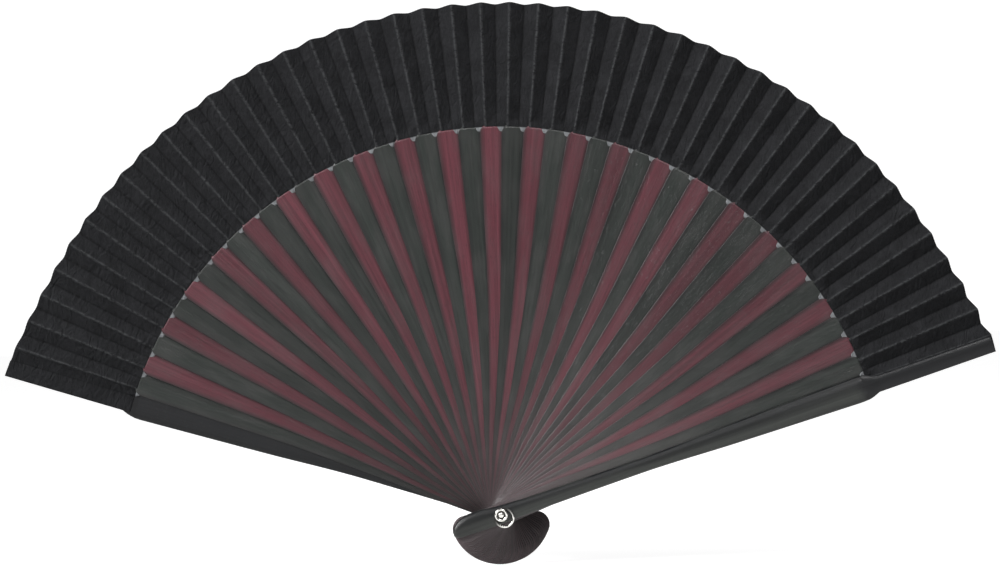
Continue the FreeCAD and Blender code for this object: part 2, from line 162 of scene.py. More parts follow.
class FanMetalSettings(bpy.types.PropertyGroup):
    """Sizes of the rivet and the loose ring."""

    head: size("Head radius", "Radius of the rivet's head", 2.7 * MM)
    shank: size("Shank radius", "Radius of the rivet's shank", 1.4 * MM)
    ring: size("Ring radius", "Radius of the loose ring to the middle of its wire", 3.65 * MM)
    wire: size("Wire radius", "Radius of the ring's wire", 0.45 * MM)


class FanColourSettings(bpy.types.PropertyGroup):
    """Colours of the finishes."""

    red: colour("Red dye", "Dye of every second rib", (0.104, 0.0235, 0.0340))
    # The deep dyes fill the pores and also serve as painted shade along the ribs' edges.
    red_deep_and_edge_shade: colour("Deep red dye", "Dye in the pores and along the edges", (0.022, 0.010, 0.012))
    black: colour("Black dye", "Dye of the ribs between", (0.0155, 0.0200, 0.0172))
    black_deep_and_edge_shade: colour("Deep black dye", "Dye in the pores and along the edges", (0.008, 0.008, 0.008))
    lacquer: colour("Lacquer", "Lacquer of the guards", (0.0055, 0.0060, 0.0072))
    # The worn lacquer colour is also the colour of the painted highlight on the front guard.
    lacquer_worn_and_highlight: colour("Worn lacquer", "Lacquer where hands have thinned it", (0.105, 0.112, 0.101))
    handled: colour("Handled wood", "What both dyes fade to about the rivet", (0.036, 0.0225, 0.0255))
    cloth: colour("Cloth", "Threads of the leaf", (0.0190, 0.0194, 0.0212))
    # The worn cloth colour is also the colour of the painted highlight along the front folds.
    cloth_worn_and_highlight: colour("Worn cloth", "Threads where the folds have rubbed", (0.075, 0.078, 0.081))
    metal: colour("Metal", "Plating of the rivet and ring", (0.80, 0.79, 0.75))
    stage: colour("Stage", "Floor and backdrop", (0.55, 0.55, 0.55))


class FanStageSettings(bpy.types.PropertyGroup):
    """Camera and lights."""

    distance: size("Camera distance", "From the camera to the plane of the ribs", 1.6)
    across: size("Camera across", "How far right of the rivet the camera stands", 2.0 * MM)
    height: size("Camera height", "How high above the rivet the camera stands", 94.8 * MM)
    lens: bpy.props.FloatProperty(
        name="Lens", description="Focal length in millimetres", default=140.1, min=10
    )
    roll: angle("Roll", "How far the camera is turned about its view", math.radians(-1.5))
    key: bpy.props.FloatProperty(
        name="Key light", description="Power of the light from the upper left", default=46.0, min=0
    )
    top: bpy.props.FloatProperty(
        name="Top light", description="Power of the light from above", default=6.0, min=0
    )
    sheen: bpy.props.FloatProperty(
        name="Sheen lights", description="Power of the lights that only show in gloss", default=4.6,
        min=0
    )
    ambient: bpy.props.FloatProperty(
        name="Ambient", description="Strength of the light from all sides", default=0.45, min=0
    )


# ---------------------------------------------------------------- shader maths


class Value:
    """One output of a shader node; arithmetic on it adds nodes."""

    def __init__(self, shader, socket):
        self.shader = shader
        self.socket = socket

    def maths(self, operation, *values):
        return self.shader.node("ShaderNodeMath", {"operation": operation}, dict(enumerate(values)))

    def __add__(self, other):
        return self.maths("ADD", self, other)

    def __radd__(self, other):
        return self.maths("ADD", other, self)

    def __sub__(self, other):
        return self.maths("SUBTRACT", self, other)

    def __rsub__(self, other):
        return self.maths("SUBTRACT", other, self)

    def __mul__(self, other):
        return self.maths("MULTIPLY", self, other)

    def __rmul__(self, other):
        return self.maths("MULTIPLY", other, self)

    def magnitude(self):
        return self.maths("ABSOLUTE", self)

    def sine(self):
        return self.maths("SINE", self)

    def stretched(self, x, y, z):
        """This vector with each of its parts multiplied."""
        inputs = {0: self, 1: (x, y, z)}
        return self.shader.node("ShaderNodeVectorMath", {"operation": "MULTIPLY"}, inputs)

    def part(self, index):
        """One of the three numbers of this vector."""
        return self.shader.node("ShaderNodeSeparateXYZ", {}, {0: self}, index)

    def band(self, low, high):
        """0 below low, 1 above high, smooth between."""
        settings = {"interpolation_type": "SMOOTHSTEP", "clamp": True}
        return self.shader.node("ShaderNodeMapRange", settings, {0: self, 1: low, 2: high})


class Shader:
    """The node tree of a material or of the world, up to the node that it ends in."""

    def __init__(self, owner, ending="Principled BSDF"):
        self.owner = owner
        owner.use_nodes = True
        self.tree = owner.node_tree
        self.ending = self.tree.nodes[ending]

    def node(self, kind, settings, inputs, output=0):
        """Add a node, set it up, feed its sockets, and return one of its outputs."""
        added = self.tree.nodes.new(kind)
        for name, setting in settings.items():
            setattr(added, name, setting)
        self.feed(added, inputs)
        return Value(self, added.outputs[output])

    def feed(self, node, inputs):
        """Link or set some of a node's sockets."""
        for name, given in inputs.items():
            if isinstance(given, Value):
                self.tree.links.new(given.socket, node.inputs[name])
            else:
                node.inputs[name].default_value = given

    def finish(self, **inputs):
        """Feed the ending node, with underscores for the spaces in its sockets' names."""
        self.feed(self.ending, {name.replace("_", " "): given for name, given in inputs.items()})
        return self.owner

    def stored(self, name, output="Fac"):
        """What the mesh stores under this name at each of its points."""
        return self.node("ShaderNodeAttribute", {"attribute_name": name}, {}, output)

    def noise(self, place, scale, detail=3.0, distortion=0.0):
        """Noise about one half, over a place in space."""
        inputs = {"Vector": place, "Scale": scale, "Detail": detail, "Distortion": distortion}
        return self.node("ShaderNodeTexNoise", {}, inputs)

    def mix(self, share, first, second, blend="MIX"):
        """A colour between two colours."""
        settings = {"data_type": "RGBA", "blend_type": blend}
        return self.node("ShaderNodeMix", settings, {0: share, 6: first, 7: second}, 2)

    def bump(self, height, distance, normal=None):
        """A normal that leans with a height, on top of another normal if one is given."""
        inputs = {"Height": height, "Distance": distance}
        if normal:
            inputs["Normal"] = normal
        return self.node("ShaderNodeBump", {}, inputs)


def rgba(rgb, share=1.0):
    """A shader's colour from red, green and blue, each times a share."""
    return tuple(part * share for part in rgb) + (1.0,)


# ---------------------------------------------------------------- finishes

# Handled wood near the rivet on the left-hand ribs, darkened as painted shade.
HANDLED_IN_PAINTED_SHADE = (0.020, 0.0072, 0.0090)
BARE_TAIL = (0.060, 0.036, 0.041)
# Grey of a painted sheen on the ribs.
PAINTED_SHEEN = (0.11, 0.10, 0.10)
WHITE = (1.0, 1.0, 1.0)
THREAD = 0.36  # millimetres from one thread of the cloth to the next


def stained_wood(name, dye, deep, handled, seed):
    """Thin dyed wood: long fibres, open pores, and dye worn off near the rivet, with painted shade along the
    edges, painted shade near the rivet on the left-hand ribs, painted sheen there on the right-hand ones,
    and a grey painted sheen in clouds.
    """
    shader = Shader(bpy.data.materials.new(name))
    grain = shader.stored("grain", "Vector")
    tone = shader.stored("tone")
    rim = shader.stored("rim")
    fibre = shader.noise(grain.stretched(6.5, 6.5, 0.10), 1.0, 4.0, 0.3)
    streak = shader.noise(grain.stretched(0.75, 0.75, 0.012), 1.0, 3.0, 0.6)
    cloud = shader.noise(grain.stretched(0.16, 0.16, 0.045), 1.0 + seed, 2.0)
    pore = shader.noise(grain.stretched(6.5, 6.5, 0.42), 1.0, 2.0).band(0.60, 0.70)
    # Mask for painted shade along each rib's edges, where the next rib overlaps it.
    edge = 1 - (rim + 0.5 * (cloud - 0.5)).band(0.0, 2.1)
    height = shader.stored("height")
    painted_shade_to_sheen = shader.stored("painted_shade_to_sheen")
    faded = 1 - (height.magnitude() + 18 * (streak - 0.5)).band(4, 62)
    tail = 1 - height.band(-9, 1)
    near = 1 - height.band(30, 130)
    body = (0.42 * fibre + 0.58 * streak).band(0.32, 0.68)
    stain = shader.mix(body, rgba(dye, 0.74), rgba(dye, 1.28))
    # Handled wood near the rivet: painted shade on the left-hand ribs, turning to a lighter painted sheen
    # (1.85 times) on the right-hand ribs.
    rubbed = shader.mix(painted_shade_to_sheen, rgba(HANDLED_IN_PAINTED_SHADE), rgba(handled, 1.85))
    stain = shader.mix(0.82 * faded, stain, rubbed)
    stain = shader.mix(tail * (0.35 + 0.65 * body), stain, rgba(BARE_TAIL))
    stain = shader.mix(0.55 * pore, stain, rgba(deep))
    stain = shader.mix(0.92 * edge, stain, rgba(deep))
    # Grey painted sheen, in random clouds and strongest near the rivet on the right-hand ribs.
    haze = cloud.band(0.35, 0.75) * 0.16 + 0.32 * near * painted_shade_to_sheen * painted_shade_to_sheen
    stain = shader.mix(haze, stain, rgba(PAINTED_SHEEN))
    # Random tone for each rib, plus painted light: lighter near the rivet on the right-hand ribs and darker
    # on the left-hand ones.
    light = 0.80 + 0.40 * tone + 0.95 * near * (painted_shade_to_sheen - 0.45)
    shade = shader.node("ShaderNodeCombineColor", {}, {0: light, 1: light, 2: light})
    stain = shader.mix(1.0, stain, shade, "MULTIPLY")
    fine = shader.bump((fibre - 0.6 * pore) * (1 - edge), 0.06 * MM)
    return shader.finish(
        Base_Color=stain,
        Roughness=0.21 + 0.10 * fibre + 0.10 * streak,
        Normal=shader.bump(streak, 0.10 * MM, fine),
        Specular_IOR_Level=0.36,
    )


def guard_lacquer(name, lacquer, worn):
    """Black lacquer on wood: grain under a satin coat, thinned at the edges and by hands, with a painted
    highlight along the lower side of the front guard's outer face.
    """
    shader = Shader(bpy.data.materials.new(name))
    grain = shader.stored("grain", "Vector")
    rim = shader.stored("rim")
    fibre = shader.noise(grain.stretched(2.6, 2.6, 0.06), 1.0, 4.0, 0.4)
    streak = shader.noise(grain.stretched(0.45, 0.45, 0.010), 1.0, 3.0, 0.5)
    speck = shader.noise(grain, 1.7, 5.0).band(0.56, 0.70)
    patch = shader.noise(grain.stretched(0.5, 0.5, 0.07), 1.0, 4.0).band(0.40, 0.66)
    rub = (1 - rim.band(0.0, 0.9)) * patch
    body = (0.5 * fibre + 0.5 * streak).band(0.36, 0.66)
    coat = shader.mix(body, rgba(lacquer, 0.72), rgba(lacquer, 1.35))
    # Painted highlight: the front guard's outer face grows lighter towards its lower side.
    free = shader.stored("free").band(-0.9, 1.0) * (0.45 + 0.55 * streak.band(0.35, 0.65))
    coat = shader.mix(0.30 * rub + 0.06 * speck + 0.66 * free, coat, rgba(worn))
    fine = shader.bump(fibre, 0.018 * MM)
    return shader.finish(
        Base_Color=coat,
        Roughness=0.26 + 0.14 * streak + 0.08 * fibre,
        Normal=shader.bump(streak, 0.07 * MM, fine),
        Coat_Weight=0.06 + 0.10 * speck,
        Coat_Roughness=0.22,
        Specular_IOR_Level=0.27,
    )


def leaf_cloth(name, cloth, worn):
    """Black woven cloth, creased, with a painted highlight and some rubbed wear along the front folds,
    painted shade along the back folds, and a grey raw edge.
    """
    shader = Shader(bpy.data.materials.new(name))
    place = shader.stored("cloth", "Vector")
    fold = shader.stored("fold")
    front = shader.stored("front")
    turn = 2 * math.pi / THREAD
    weave = (place.part(0) * turn).sine() * (place.part(1) * turn).sine()
    slub = shader.noise(place.stretched(0.5, 3.2, 0), 1.0, 3.0)
    mottle = shader.noise(place, 0.11, 3.0, 0.8)
    crumple = shader.noise(place.stretched(0.20, 0.34, 0), 1.0, 3.0, 1.4)
    crinkle = shader.noise(place.stretched(0.9, 0.55, 0), 1.0, 4.0, 0.9)
    near = 1 - fold.band(0.10, 0.85)
    tone = (0.45 * mottle + 0.30 * slub + 0.25 * crinkle).band(0.34, 0.66)
    dyed = shader.mix(tone, rgba(cloth, 0.72), rgba(cloth, 1.36))
    dyed = shader.mix(0.16 + 0.16 * weave, dyed, rgba(cloth, 0.45))
    # Pale along the front folds: painted highlight, with some rubbed wear.
    dyed = shader.mix(near * front * crinkle.band(0.30, 0.60) * 0.62, dyed, rgba(worn))
    # Dark along the back folds: painted shade in the creases.
    dyed = shader.mix(near * (1 - front) * 0.6, dyed, rgba(cloth, 0.40))
    raw = 1 - shader.stored("reach").band(-0.45, 0.05)
    dyed = shader.mix(raw * (0.75 + 0.25 * crinkle), dyed, rgba(worn, 3.8))
    weaving = shader.bump(weave + 0.5 * slub, 0.025 * MM)
    crushed = shader.bump(crinkle, 0.10 * MM, weaving)
    return shader.finish(
        Base_Color=dyed,
        Roughness=0.74 + 0.12 * crinkle,
        Normal=shader.bump(crumple, 0.9 * MM, crushed),
        Specular_IOR_Level=0.08,
        Sheen_Weight=0.02,
        Sheen_Roughness=0.45,
    )


def rivet_metal(name, metal):
    """Plated metal with fine turning marks, a little haze, and painted shade where it is sunk and where the
    head shades the ring.
    """
    shader = Shader(bpy.data.materials.new(name))
    place = shader.node("ShaderNodeTexCoord", {}, {}, "Object")
    haze = shader.noise(place, 900.0, 4.0)
    mark = shader.noise(place.stretched(1.0, 14.0, 1.0), 1500.0, 3.0)
    metal_painted_shade = shader.stored("metal_painted_shade")
    plate = shader.mix(haze.band(0.40, 0.72), rgba(metal), rgba(metal, 0.78))
    plate = shader.mix(metal_painted_shade, plate, rgba(metal, 0.05))
    return shader.finish(
        Base_Color=plate,
        Metallic=1.0,
        Roughness=0.07 + 0.10 * haze + 0.35 * metal_painted_shade,
        Normal=shader.bump(mark, 0.0008 * MM),
    )


def stage_paper(name, paper):
    """Pale seamless paper that glows, so that hardly a shadow shows on it."""
    shader = Shader(bpy.data.materials.new(name))
    place = shader.node("ShaderNodeTexCoord", {}, {}, "Object")
    tooth = shader.noise(place, 700.0, 3.0)
    return shader.finish(
        Base_Color=shader.mix(tooth, rgba(paper, 0.98), rgba(paper, 1.02)),
        Roughness=0.9,
        Specular_IOR_Level=0.1,
        Emission_Color=rgba(WHITE),
        Emission_Strength=0.93,
        Normal=shader.bump(tooth, 0.05 * MM),
    )


def backdrop_glow(name):
    """A backdrop a little brighter than white."""
    shader = Shader(bpy.data.materials.new(name))
    place = shader.node("ShaderNodeTexCoord", {}, {}, "Object")
    glow = shader.mix(shader.noise(place, 0.2), rgba(WHITE, 0.99), rgba(WHITE))
    return shader.finish(Base_Color=rgba(WHITE, 0), Emission_Color=glow, Emission_Strength=1.05)


def finish_for(slot):
    """The material of one of the fan's finishes or of the stage, made once."""
    name = "fan_" + slot
    made = bpy.data.materials.get(name)
    if made:
        return made
    tints = bpy.context.scene.fan_colours
    makers = {
        "red_wood": (stained_wood, tints.red, tints.red_deep_and_edge_shade, tints.handled, 0.13),
        "black_wood": (stained_wood, tints.black, tints.black_deep_and_edge_shade, tints.handled, 0.41),
        "guard_lacquer": (guard_lacquer, tints.lacquer, tints.lacquer_worn_and_highlight),
        "leaf_cloth": (leaf_cloth, tints.cloth, tints.cloth_worn_and_highlight),
        "rivet_metal": (rivet_metal, tints.metal),
        "stage": (stage_paper, tints.stage),
        "backdrop": (backdrop_glow,),
    }
    make, *given = makers[slot]
    return make(name, *given)


# ---------------------------------------------------------------- meshes


def new_piece(name, points, faces, slot):
    """A smooth-shaded object from points and faces, with its finish on it."""
    mesh = bpy.data.meshes.new(name)
    mesh.from_pydata(points, [], faces)
    mesh.validate()
    mesh.shade_smooth()
    mesh.materials.append(finish_for(slot))
    piece = bpy.data.objects.new(name, mesh)
    bpy.context.scene.collection.objects.link(piece)
    return piece


def settle(piece, body, slot, *nodes):
    """Hang a piece on its body and hide the nodes it stands for."""
    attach(piece, body)
    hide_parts(*nodes)


def store(mesh, name, values):
    """Write one number or one vector for each point of the mesh."""
    if isinstance(values[0], (tuple, Vector)):
        made = mesh.attributes.new(name, "FLOAT_VECTOR", "POINT")
        made.data.foreach_set("vector", [part for value in values for part in value])
    else:
        made = mesh.attributes.new(name, "FLOAT", "POINT")
        made.data.foreach_set("value", values)


def outward(mesh):
    """Turn the faces of a closed mesh to look outward, by its signed volume."""
    mesh.calc_loop_triangles()
    volume = 0.0
    for triangle in mesh.loop_triangles:
        a, b, c = (mesh.vertices[i].co for i in triangle.vertices)
        volume += a.dot(b.cross(c))
    if volume < 0:
        mesh.flip_normals()


def skinned(name, rings, slot):
    """A closed skin through equal rings of points, with a face over each end."""
    count = len(rings[0])
    points = [point for ring in rings for point in ring]
    faces = []
    for row in range(len(rings) - 1):
        for i in range(count):
            a = row * count + i
            b = row * count + (i + 1) % count
            faces.append((a, b, b + count, a + count))
    faces.append(tuple(reversed(range(count))))
    faces.append(tuple(range(len(points) - count, len(points))))
    piece = new_piece(name, points, faces, slot)
    outward(piece.data)
    return piece


def flowing(table, z):
    """Height of a smooth curve through a table of (place, height), with no overshoot."""
    if z <= table[0][0]:
        return table[0][1]
    if z >= table[-1][0]:
        return table[-1][1]
    slopes = [(b[1] - a[1]) / (b[0] - a[0]) for a, b in zip(table, table[1:])]
    bends = [slopes[0]]
    for s, t in zip(slopes, slopes[1:]):
        bends.append(2 * s * t / (s + t) if s * t > 0 else 0.0)
    bends.append(slopes[-1])
    i = max(j for j in range(len(slopes)) if table[j][0] <= z)
    (z0, h0), (z1, h1) = table[i], table[i + 1]
    span = z1 - z0
    t = (z - z0) / span
    return (
        h0 * (1 + 2 * t) * (1 - t) ** 2
        + bends[i] * span * t * (1 - t) ** 2
        + h1 * t * t * (3 - 2 * t)
        - bends[i + 1] * span * t * t * (1 - t)
    )


def leaned(point, lean):
    """A point of an upright stick, once the stick leans to the left by this angle."""
    x, y, z = point
    return (
        x * math.cos(lean) - z * math.sin(lean),
        y,
        x * math.sin(lean) + z * math.cos(lean),
    )


def lean_of(share, spread):
    """Lean of a stick at this share of the spread, from 0 at the rear guard to 1."""
    return spread * (0.5 - share)


def tail_stations():
    """Heights and half widths round a stick's tail, from near its tip."""
    centre = TAIL_TIP + TAIL_ROUND
    turns = [math.radians(a) for a in (3, 7, 12, 18, 25, 33, 42, 52, 63, 75, 88, 102)]
    return [(centre - TAIL_ROUND * math.cos(a), TAIL_ROUND * math.sin(a)) for a in turns]


def circle(count):
    """The angles of points evenly round a circle."""
    return [2 * math.pi * i / count for i in range(count)]


def drill(piece, radius, near, far):
    """Bore a round hole along Y through a piece that stands at the rivet."""
    rim = [(radius * math.cos(a), radius * math.sin(a)) for a in circle(40)]
    rings = [[(x, y, z) for x, z in rim] for y in (near, far)]
    bit = skinned("bit", rings, "guard_lacquer")
    cut = piece.modifiers.new("hole", "BOOLEAN")
    cut.operation = "DIFFERENCE"
    cut.solver = "EXACT"
    cut.object = bit
    bpy.context.view_layer.update()
    seen = piece.evaluated_get(bpy.context.evaluated_depsgraph_get())
    bored = bpy.data.meshes.new_from_object(seen)
    piece.modifiers.remove(cut)
    old, spare = piece.data, bit.data
    piece.data = bored
    bpy.data.objects.remove(bit)
    for mesh in (old, spare):
        bpy.data.meshes.remove(mesh)


def grained(mesh, dice):
    """Store a place in the wood that no other stick is cut from."""
    shift = Vector([dice.uniform(-400, 400) for _ in range(3)])
    store(mesh, "grain", [vertex.co / MM + shift for vertex in mesh.vertices])


# ---------------------------------------------------------------- ribs

TAIL_TIP = -21.0 * MM
TAIL_ROUND = 5.553 * MM
RIB_SHOULDER = 156.2 * MM
RIB_TOP = 159.7 * MM
RIB_STEP = 3.06 * MM
EDGE_ROUND = 0.08 * MM


def rib_half_width(sticks, z):
    """Half the width of a rib's blade at a height above the rivet."""
    table = [
        (-15.4 * MM, sticks.tail * 0.534),
        (-12.0 * MM, sticks.tail * 0.498),
        (0.0, sticks.tail * 0.442),
        (27 * MM, sticks.waist * 0.694),
        (54 * MM, sticks.waist * 0.565),
        (89 * MM, sticks.waist * 0.5),
        (124 * MM, sticks.shoulder * 0.417),
        (RIB_SHOULDER, sticks.shoulder * 0.5),
    ]
    return flowing(table, z)


def rib_ring(z, half, thick, inset=EDGE_ROUND, level=0.0, turn=0.0):
    """One cross-section of a rib: two crowned faces that meet in rounded edges."""
    inset = min(inset, half * 0.3)
    side = [
        (half, 0.20),
        (half - 0.3 * inset, 0.55),
        (half - inset, 0.80),
        (half - min(2.6 * inset, 0.4 * half), 0.92),
        (0.45 * half, 0.98),
    ]
    face = [(-x, t) for x, t in side] + [(0.0, 1.0)] + side[::-1]
    back = [(x, -t) for x, t in reversed(face)]
    ring = []
    for x, t in face + back:
        y = t * thick
        across = x * math.cos(turn) + y * math.sin(turn)
        ring.append((across, level - y * math.cos(turn) + x * math.sin(turn), z))
    return ring


def rib_rings(sticks):
    """Cross-sections of a rib from its tail, over the shoulder, to the top of its slip."""
    half_thick = sticks.thickness / 2
    rings = []
    for z, half in tail_stations():
        thin = half_thick * min(1.0, 0.55 + 0.45 * (z - TAIL_TIP) / (0.5 * MM))
        rings.append(rib_ring(z, half, thin))
    z = -12.0 * MM
    while z < RIB_SHOULDER + 0.1 * MM:
        rings.append(rib_ring(z, rib_half_width(sticks, z), half_thick))
        z += RIB_STEP
    flat = 1.9 * MM
    reach = sticks.shoulder / 2 - flat
    for step in range(1, 13):
        a = step * math.pi / 24
        z = RIB_SHOULDER + (RIB_TOP - RIB_SHOULDER) * math.sin(a)
        pared = min(1.0, max(0.0, (z - 158.72 * MM) / (0.3 * MM)))
        half, thin = flat + reach * math.cos(a), half_thick * (1 - 0.48 * pared)
        rings.append(rib_ring(z, half, thin, level=0.52 * half_thick * pared))
    slip = [
        (160.0, 1.45, 0.070, 1),
        (160.9, 1.40, 0.070, 5),
        (161.8, 1.35, 0.070, 11.5),
        (162.8, 1.28, 0.070, 18),
        (163.5, 1.25, 0.070, 21),
        (164.2, 1.25, 0.070, 22),
    ]
    slip += [(z, 1.25 - 0.15 * (z - 164) / 42, 0.070, 22) for z in range(168, 205, 6)]
    slip += [(205.2, 1.08, 0.068, 22), (205.8, 0.95, 0.055, 22), (206.0, 0.7, 0.04, 22)]
    for z, half, thick, turn in slip:
        turn = math.radians(turn)
        rings.append(rib_ring(z * MM, half * MM, thick * MM, 0.1 * MM, 0.1 * MM, turn))
    return rings


class FAN_OT_ribs(bpy.types.Operator):
    """Make the forty-three stained ribs, dyed black and red in turn"""

    bl_idname = "fan.make_ribs"
    bl_label = "Ribs"

    def execute(self, context):
        sticks = context.scene.fan_sticks
        dice = random.Random(43)
        master = skinned("rib_master", rib_rings(sticks), "black_wood")
        drill(master, sticks.hole, -MM, MM)
        shape = master.data
        shape.set_sharp_from_angle(angle=CREASE)
        for number, body in enumerate(RIBS, 1):
            slot = "red_wood" if number % 2 == 0 else "black_wood"
            mesh = shape.copy()
            mesh.materials.clear()
            mesh.materials.append(finish_for(slot))
            grained(mesh, dice)
            store(mesh, "tone", [dice.random()] * len(mesh.vertices))
            store(mesh, "rim", self.rims(mesh, sticks))
            # Share of the spread from the rear guard to the front guard; the wood's finish turns it into
            # painted shade on the left and painted sheen on the right.
            store(mesh, "painted_shade_to_sheen", [number / PITCHES] * len(mesh.vertices))
            store(mesh, "height", [vertex.co.z / MM for vertex in mesh.vertices])
            lean = lean_of(number / PITCHES, sticks.spread)
            level = (PITCHES / 2 - number) * sticks.layer
            mesh.transform(Matrix.Translation((0, level, 0)) @ Matrix.Rotation(-lean, 4, "Y"))
            piece = bpy.data.objects.new(body + "_slat", mesh)
            mesh.name = piece.name
            context.scene.collection.objects.link(piece)
            settle(piece, body, slot, body)
        bpy.data.objects.remove(master)
        bpy.data.meshes.remove(shape)
        return {"FINISHED"}

    def rims(self, mesh, sticks):
        """Millimetres in from the edge, and more near the rivet, so the painted edge shade thins there."""
        rims = []
        for vertex in mesh.vertices:
            half = rib_half_width(sticks, vertex.co.z)
            open_share = min(1.0, max(0.10, abs(vertex.co.z) / (120 * MM)))
            rims.append(max(0.0, half - abs(vertex.co.x)) / MM / open_share)
        return rims


# ---------------------------------------------------------------- guards


def guard_half_width(guards, sticks, z):
    """Half the width of a guard below its shoulder."""
    table = [
        (-15.4 * MM, sticks.tail * 0.534),
        (-13.0 * MM, sticks.tail * 0.51),
        (-7 * MM, sticks.tail * 0.43),
        (0.0, sticks.tail * 0.362),
        (23 * MM, guards.waist * 0.534),
        (60 * MM, guards.waist * 0.5),
        (100 * MM, guards.shoulder * 0.382),
        (154 * MM, guards.shoulder * 0.5),
    ]
    return flowing(table, z)


def guard_ring(left, right, inner, outer, lift, z, side):
    """One cross-section of a guard: flat inside, crowned outside, rounded between."""
    middle, half = (left + right) / 2, (right - left) / 2
    wall = inner + 0.30 * (outer - inner)
    ring = []
    shares = (0, 0.2, 0.4, 0.6, 0.75, 0.86, 0.94, 0.985, 1)
    for u in [-s for s in shares[:0:-1]] + list(shares):
        crown = (1 - abs(u) ** 2.3) ** 0.5
        ring.append((middle + u * half, wall + (outer - wall) * crown * lift))
    foot = min(0.2 * MM, 0.2 * half)
    ring.append((right, inner + foot))
    for x in (right - foot, middle, left + foot):
        ring.append((x, inner))
    ring.append((left, inner + foot))
    return [(x, side * y, z) for x, y in ring]


def guard_sides(half, z, side):
    """Left and right of a guard at a height: its tail is a lobe, rounder on one side."""
    lobe = [
        (-21.0, 0.1), (-20.4, -1.0), (-19.4, -2.0), (-18.0, -3.0),
        (-15.5, -4.1), (-12.5, -4.7), (-8.0, -4.7), (-3.0, -4.1),
    ]
    under = [(-21.0, 2.2), (-20.2, 3.0), (-17.5, 3.55), (-8.0, 3.75), (-3.0, 3.8)]
    share = eased((z + 6 * MM) / (6 * MM))
    top = flowing(lobe, z / MM) * MM * (1 - share) - half * share
    foot = flowing(under, z / MM) * MM * (1 - share) + half * share
    return (top, foot) if side < 0 else (-foot, -top)


def guard_rings(guards, sticks, side):
    """Cross-sections of a guard from its tail to the top of the slip under the leaf."""
    inner, outer = guards.inner, guards.outer
    rings = []
    for z, half in tail_stations():
        sunk = max(0.0, 1 - (z - TAIL_TIP) / (1.9 * MM))
        lift = max(0.12, (1 - sunk ** 2.2) ** 0.5)
        rings.append(guard_ring(*guard_sides(half, z, side), inner, outer, lift, z, side))
    z = -12.6 * MM
    while z < 154 * MM:
        half = guard_half_width(guards, sticks, z)
        rings.append(guard_ring(*guard_sides(half, z, side), inner, outer, 1, z, side))
        z += 2.9 * MM
    full = guards.shoulder / 2
    floor, slip = outer - 1.1 * MM, outer - 0.3 * MM
    rounding = [
        (154.6, 0.998, inner, 1.0),
        (156.9, 0.975, inner, 1.0),
        (157.0, 0.972, floor, 0.98),
        (158.4, 0.925, floor, 0.92),
        (159.8, 0.855, floor, 0.80),
        (161.0, 0.770, floor, 0.60),
        (161.9, 0.700, floor, 0.35),
        (162.6, 0.655, floor, 0.15),
        (163.6, 0.633, floor, 0.0),
        (165.0, 0.630, floor, 0.0),
    ]
    rounding += [(170 + 6 * i, 0.630, floor, 0.0) for i in range(7)]
    rounding += [
        (210.8, 0.628, floor, 0.0),
        (211.8, 0.60, floor, -0.04),
        (212.35, 0.55, floor, -0.12),
        (212.6, 0.47, floor, -0.3),
    ]
    for z, share, low, rise in rounding:
        wide = full * share
        slim = min(wide, max(3.0 * MM, wide - 0.4 * MM * (1 - rise))) if z > 157 else wide
        left, right = (-wide, slim) if side > 0 else (-slim, wide)
        high = slip + (outer - slip) * rise
        rings.append(guard_ring(left, right, low, high, 1, z * MM, side))
    return rings


class FAN_OT_guards(bpy.types.Operator):
    """Make the two lacquered guards"""

    bl_idname = "fan.make_guards"
    bl_label = "Guards"

    def execute(self, context):
        sticks, guards = context.scene.fan_sticks, context.scene.fan_guards
        dice = random.Random(2)
        for body, side, share in (("rear_guard", 1, 0), ("front_guard", -1, 1)):
            piece = skinned(body + "_stick", guard_rings(guards, sticks, side), "guard_lacquer")
            near, far = sorted((side * 9 * MM, side * 14 * MM))
            drill(piece, sticks.hole, near, far)
            if side > 0:
                drill(piece, 3.4 * MM, guards.outer - 0.9 * MM, 14 * MM)
            mesh = piece.data
            mesh.set_sharp_from_angle(angle=CREASE)
            grained(mesh, dice)
            rims, highlight_shares = [], []
            for vertex in mesh.vertices:
                half = guard_half_width(guards, sticks, min(vertex.co.z, 0.15))
                rims.append(max(0.0, half - abs(vertex.co.x)) / MM)
                # Share of painted highlight on the front guard's outer face, lighter towards one side and
                # fading out near the shoulder.
                shown = eased((side * vertex.co.y - 10.5 * MM) / (0.4 * MM)) if side < 0 else 0.0
                shown *= 1 - eased((vertex.co.z - 153 * MM) / (6 * MM))
                highlight_shares.append(vertex.co.x / half * shown - 1 + shown)
            store(mesh, "rim", rims)
            store(mesh, "free", highlight_shares)
            lean = lean_of(share, sticks.spread)
            mesh.transform(Matrix.Rotation(-lean, 4, "Y"))
            settle(piece, body, "guard_lacquer", body)
        return {"FINISHED"}


# ---------------------------------------------------------------- leaf

CLOTH_LEVEL = -0.085 * MM
BEHIND_SLIP = 0.34 * MM
NESTED = -0.12 * MM
FOLD_START, FOLD_FULL = 159.5 * MM, 164.0 * MM
MIDDLE = 185 * MM
FLARE_START = 58.25
FLARE_END = 72.25
RUFFLE = 0.05 * MM
STICK_STEPS = (0.0, 0.03, 0.12, 0.30, 0.5, 0.70, 0.88, 0.97)
FREE_STEPS = (0.0, 0.03, 0.12, 0.23, 0.36, 0.5, 0.64, 0.74, 0.81, 0.87, 0.93, 0.98)
END_LEFT, END_RIGHT = 3.6 * MM, 3.2 * MM


def eased(t):
    """0 below 0, 1 above 1, smooth between."""
    t = min(1.0, max(0.0, t))
    return t * t * (3 - 2 * t)


